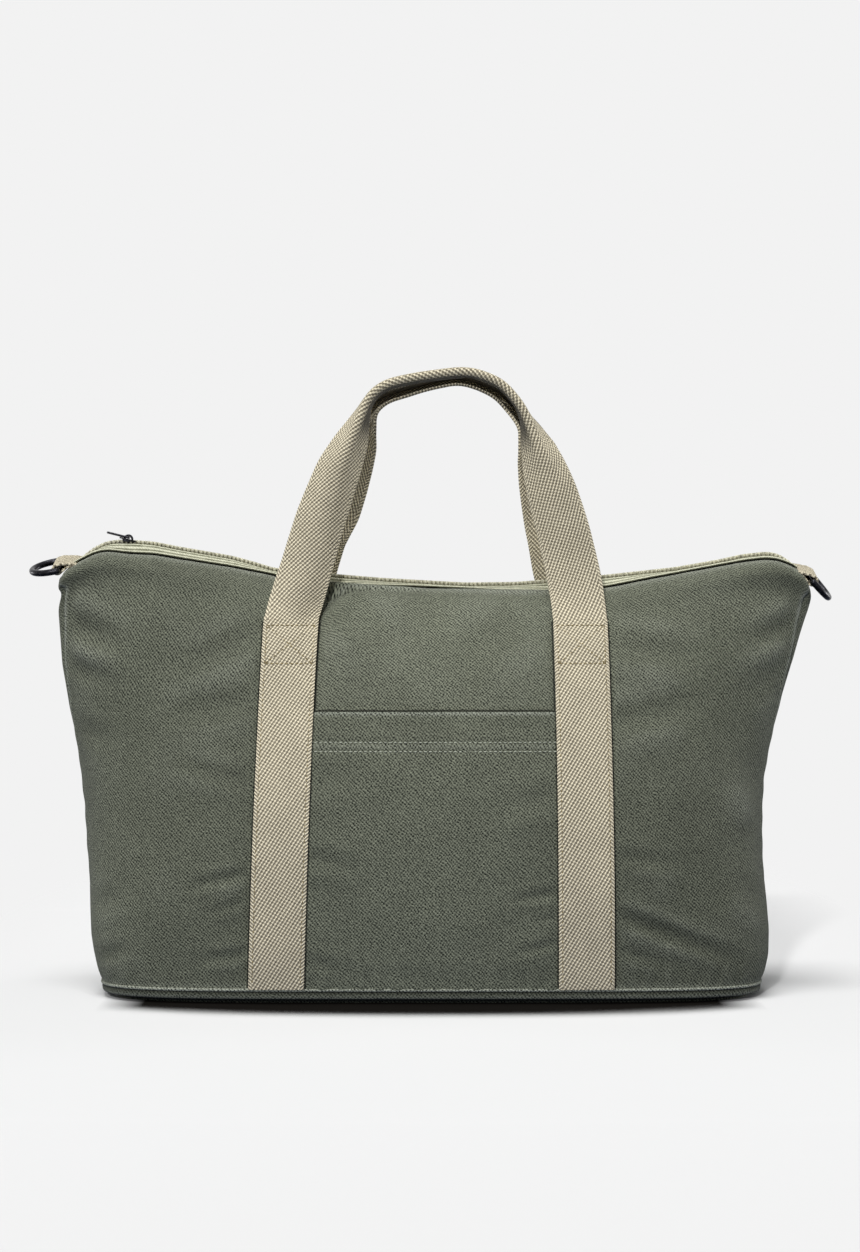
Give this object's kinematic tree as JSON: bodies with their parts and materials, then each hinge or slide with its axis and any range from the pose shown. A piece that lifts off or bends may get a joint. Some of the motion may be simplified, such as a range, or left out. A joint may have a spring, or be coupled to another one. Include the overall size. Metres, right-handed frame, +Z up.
{
  "type": "weekender bag",
  "caption": "Soft canvas weekender bag with a zipped mouth, carrying handles that run down to the base as straps, a flat front pocket and D-rings for a shoulder strap.",
  "frame": {"origin": "centre of the base, on the floor", "axes": "+X to the right along the bag seen from the front, +Y to the back, +Z up"},
  "size_m": [0.5735, 0.2112, 0.4459],
  "materials": {
    "canvas": "olive green cotton canvas, matte",
    "webbing": "ecru twill webbing, matte",
    "zip_tape": "pale green woven zip tape, matte",
    "zip_teeth": "cream moulded coil, satin",
    "dark_metal": "gunmetal plated, polished",
    "board": "stiff sheet, matte"
  },
  "bodies": {
    "bag": {"base_panel": "canvas", "base_board": "board", "front_panel": "canvas", "back_panel": "canvas", "front_pocket": "canvas", "front_strap_left": "webbing", "front_strap_right": "webbing", "back_strap_left": "webbing", "back_strap_right": "webbing", "zip_end_left": "zip_tape", "zip_end_right": "zip_tape", "tab_left": "webbing", "tab_right": "webbing"},
    "mouth_front": {"front_mouth": "canvas", "front_zip_tape": "zip_tape", "front_zip_teeth": "zip_teeth", "front_sewn_strap_left": "webbing", "front_sewn_strap_right": "webbing"},
    "mouth_back": {"back_mouth": "canvas", "back_zip_tape": "zip_tape", "back_zip_teeth": "zip_teeth", "back_sewn_strap_left": "webbing", "back_sewn_strap_right": "webbing"},
    "handle_front": {"front_handle": "webbing"},
    "handle_back": {"back_handle": "webbing"},
    "zip_slider": {"slider_body": "dark_metal"},
    "zip_pull": {"slider_pull": "dark_metal"},
    "ring_left": {"d_ring_left": "dark_metal"},
    "ring_right": {"d_ring_right": "dark_metal"}
  },
  "joints": [
    {"name": "mouth_front_open", "type": "hinge", "parent": "bag", "child": "mouth_front", "pos_m": [0, -0.0812, 0.2], "axis": [1, 0, 0], "range_deg": [0, 35]},
    {"name": "mouth_back_open", "type": "hinge", "parent": "bag", "child": "mouth_back", "pos_m": [0, 0.0812, 0.2], "axis": [-1, 0, 0], "range_deg": [0, 35]},
    {"name": "handle_front_fold", "type": "hinge", "parent": "mouth_front", "child": "handle_front", "pos_m": [0, -0.0483, 0.261], "axis": [1, 0, 0], "range_deg": [0, 135]},
    {"name": "handle_back_fold", "type": "hinge", "parent": "mouth_back", "child": "handle_back", "pos_m": [0, 0.0483, 0.261], "axis": [-1, 0, 0], "range_deg": [0, 135]},
    {"name": "zip_slide", "type": "hinge", "parent": "bag", "child": "zip_slider", "pos_m": [0.025, 0, 1.287], "axis": [0, -1, 0], "range_deg": [0, 25.78], "deforming": ["front_zip_teeth", "back_zip_teeth"]},
    {"name": "zip_pull_flip", "type": "hinge", "parent": "zip_slider", "child": "zip_pull", "pos_m": [-0.21617, 0, 0.32007], "axis": [0, 1, 0], "range_deg": [0, 165]},
    {"name": "ring_left_swing", "type": "hinge", "parent": "bag", "child": "ring_left", "pos_m": [-0.266, 0, 0.3], "axis": [0, 0.9613, 0.2756], "range_deg": [-50, 60]},
    {"name": "ring_right_swing", "type": "hinge", "parent": "bag", "child": "ring_right", "pos_m": [0.271, 0, 0.292], "axis": [0, -0.9613, -0.2756], "range_deg": [-17, 98]}
  ]
}
